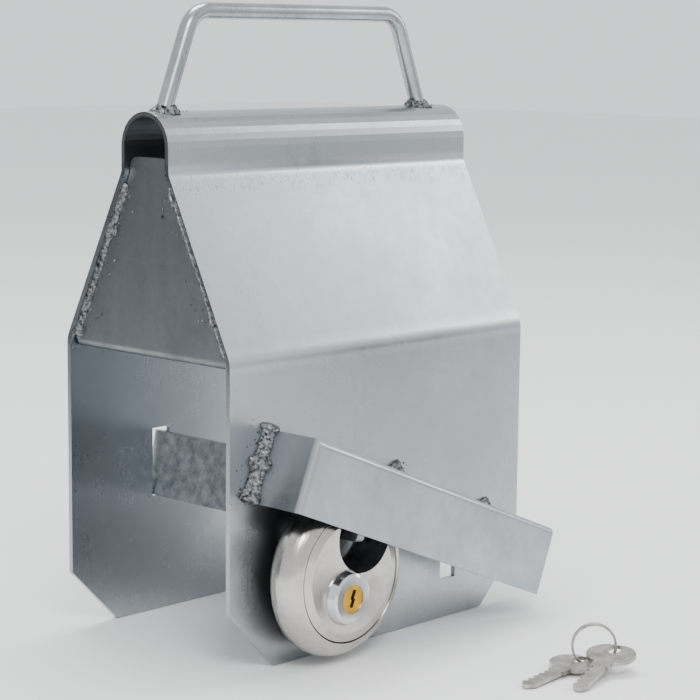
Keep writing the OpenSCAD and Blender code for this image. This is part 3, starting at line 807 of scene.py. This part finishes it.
@dataclass(frozen=True)
class SoftLight:
    """A soft studio light.

    Attributes:
        name: its name.
        place: where it stands, in mm.
        target: what it points at, in mm.
        size: width and height in mm.
        power: watts.
        colour: hex colour.
    """

    name: str
    place: tuple[float, float, float]
    target: tuple[float, float, float]
    size: tuple[float, float]
    power: float
    colour: str = "#FFFFFF"

    def make(self) -> None:
        """Adds the light to the scene."""
        data = bpy.data.lights.new(self.name, "AREA")
        data.shape, data.size, data.size_y = "RECTANGLE", self.size[0] * MM, self.size[1] * MM
        data.energy, data.color = self.power, srgb(self.colour)[:3]
        obj = bpy.data.objects.new(self.name, data)
        way = Vector(self.target) - Vector(self.place)
        obj.rotation_mode = "QUATERNION"
        obj.rotation_quaternion = way.to_track_quat("-Z", "Y")
        obj.location = Vector(self.place) * MM
        bpy.context.scene.collection.objects.link(obj)


def plain(name: str, colour: str, rough: float) -> bpy.types.Material:
    """A plain matte surface for the stage.

    Args:
        name: what it is.
        colour: hex colour.
        rough: roughness.

    Returns:
        The material.
    """
    material = bpy.data.materials.new(name)
    nt = NodeTree(material)
    shader = nt.add("BsdfPrincipled", Base_Color=srgb(colour), Roughness=rough)
    nt.add("OutputMaterial", Surface=shader.outputs["BSDF"])
    return material


def rectangle(name: str, corners: Sequence[Sequence[float]], material: bpy.types.Material) -> bpy.types.Object:
    """A flat stage card through four corners in mm."""
    obj = new_object(name, np.array(corners, float), np.array([[0, 1, 2, 3]]), material, smooth=False)
    return obj


def stage() -> None:
    """Floor, cards, lights and world."""
    floor = plain("pale_floor_paint", "#F4F4F4", 0.9)
    card = plain("grey_card", "#5E6468", 0.9)
    big = 6000.0
    rectangle("floor", [(-big, -big, -0.3), (big, -big, -0.3), (big, big, -0.3), (-big, big, -0.3)], floor)
    deep = plain("dark_card", "#23272A", 0.9)
    for name, material, low, high, start, end in (
        ("card_near_1", deep, 0, 190, (230, -330), (360, -420)),
        ("card_near_2", deep, 0, 420, (620, -560), (760, -760)),
        ("card_near_3", card, 0, 330, (980, -900), (1250, -1350)),
        ("card_front_1", deep, 0, 420, (-620, 300), (-420, 640)),
        ("card_front_2", card, 0, 600, (-1500, 700), (-900, 1500)),
        ("card_high", card, 1500, 1900, (-1400, -400), (600, -1900)),
    ):
        (xa, ya), (xb, yb) = start, end
        sheet = rectangle(name, [(xa, ya, low), (xb, yb, low), (xb, yb, high), (xa, ya, high)], material)
        # A card is there for the reflections in the metal, so no view looks at it directly
        sheet.visible_camera = False
    world = bpy.data.worlds.new("studio")
    bpy.context.scene.world = world
    world.use_nodes = True
    world.node_tree.nodes["Background"].inputs[0].default_value = srgb("#F7FAFC")
    world.node_tree.nodes["Background"].inputs[1].default_value = 1.25
    for light in (
        SoftLight("key_light", (-900, -1300, 1500), (0, 0, 120), (700, 700), 24),
        SoftLight("top_light", (200, 300, 1800), (0, 0, 150), (1000, 800), 24),
        SoftLight("side_light", (1500, -700, 900), (0, 0, 120), (500, 900), 8),
    ):
        light.make()
    Camera().make()


# ---------------------------------------------------------------- assembly


@dataclass(frozen=True)
class Coating:
    """A finish with its record slot and the CAD nodes that take it."""

    finish: MetalFinish
    slot: str
    nodes: tuple[str, ...]
    extra: Callable | None = None


COATINGS = (
    Coating(MetalFinish("bright_zinc_plated_sheet", "#A9AEB2", "#9EA4A9", (0.19, 0.27), 60, 0.55, 0.012,
                        stains=0.0, scratches=0.12), "zinc_sheet", ("housing_shell",), folded_zinc),
    Coating(MetalFinish("satin_plated_end_plate", "#83888B", "#6C7174", (0.3, 0.42), 30, 0.55, 0.02,
                        stains=0.1, stain="#55595B", scratches=0.5), "dark_plate", ("end_plate",)),
    Coating(MetalFinish("plated_weld_metal", "#8A8D8F", "#191A1B", (0.26, 0.5), 1.6, 0.4, 0.22,
                        stains=0.7, stain="#1F2021", scratches=0.0), "weld_metal", ()),
    Coating(MetalFinish("bright_zinc_plated_rod", "#A9AEB1", "#8F9599", (0.15, 0.24), 25, 0.6, 0.01,
                        Mapping.DRAWN_X, scratches=0.4), "zinc_rod", ("carry_handle",)),
    Coating(MetalFinish("zinc_plated_guard_sheet", "#A8ADB1", "#979DA2", (0.2, 0.3), 45, 0.6, 0.012,
                        stains=0.05, stain="#878E93", scratches=0.45), "zinc_guard", ("guard_cover",)),
    Coating(MetalFinish("mottled_plated_bar", "#A4A9AC", "#6F7578", (0.28, 0.42), 5, 0.5, 0.04, Mapping.DRAWN_Y,
                        stains=0.25, stain="#5A5F62", scratches=0.6), "bar_steel", ("locking_bar",)),
    Coating(MetalFinish("polished_stainless_shell", "#C6C1BC", "#AAA5A0", (0.1, 0.19), 25, 0.5, 0.006,
                        Mapping.DRAWN_X, scratches=0.4), "stainless_shell", ("lock_back_shell", "lock_front_plate")),
    Coating(MetalFinish("bright_chrome", "#D9D9DB", "#C6C6C9", (0.05, 0.11), 30, 0.5, 0.004, scratches=0.25),
            "chrome", ("lock_boss", "shackle_rod")),
    Coating(MetalFinish("oiled_inner_steel", "#8A8C8D", "#5A5C5E", (0.28, 0.42), 8, 0.4, 0.02, stains=0.15),
            "inner_steel", ("notch_liner", "drill_plate", "guide_walls", "shackle_socket", "driver_cam",
                            "cam_clip", "shackle_arm", "pin_springs")),
    Coating(MetalFinish("die_cast_zinc_core", "#A9A8A2", "#84837D", (0.38, 0.55), 6, 0.5, 0.04, stains=0.1),
            "zinc_core", ("lock_core",)),
    Coating(MetalFinish("turned_brass", "#DDAE45", "#AE8129", (0.2, 0.34), 6, 0.3, 0.01, Mapping.TURNED,
                        scratches=0.5), "brass", ("lock_plug", "key_pins", "driver_pins", "chamber_cap")),
    Coating(MetalFinish("worn_nickel_plating", "#B9B5AD", "#8D8982", (0.24, 0.38), 7, 0.4, 0.015, Mapping.DRAWN_X,
                        stains=0.12, stain="#5F5B54", scratches=0.6), "nickel",
            ("key_front", "key_rear", "split_ring")),
)


@dataclass
class CouplerLock:
    """The whole visual model."""

    nodes: dict
    materials: dict = field(default_factory=dict)

    def dress(self, name: str, material: bpy.types.Material) -> None:
        """Puts a finish on one CAD node.

        Args:
            name: the node's name.
            material: its finish.
        """
        mesh = self.nodes[name].data
        mesh.materials.clear()
        mesh.materials.append(material)
        LOG.info("%s takes %s", name, material.name)

    def coat(self) -> None:
        """Gives every CAD node its finish."""
        for coating in COATINGS:
            self.materials[coating.slot] = metal(coating.finish, coating.extra)
            for name in coating.nodes:
                self.dress(name, self.materials[coating.slot])
        for name in ("end_weld_near", "end_weld_far", "handle_welds", "guard_front_weld", "guard_top_welds"):
            self.dress(name, self.materials["weld_metal"])

    def detail(self) -> None:
        """Adds the pieces that are modelled again."""
        welds = Welds(self.materials["weld_metal"])
        welds.end_plate()
        welds.handle()
        welds.guard()
        welds.spatter()
        split_ring(self.materials["nickel"])
        pin_springs(self.materials["inner_steel"])


def main() -> None:
    """Builds the scene."""
    logging.basicConfig(level=logging.INFO, format="%(message)s")
    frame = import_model()
    lock = CouplerLock(frame["nodes"])
    lock.coat()
    lock.detail()
    stage()


if __name__ == "__main__":
    main()
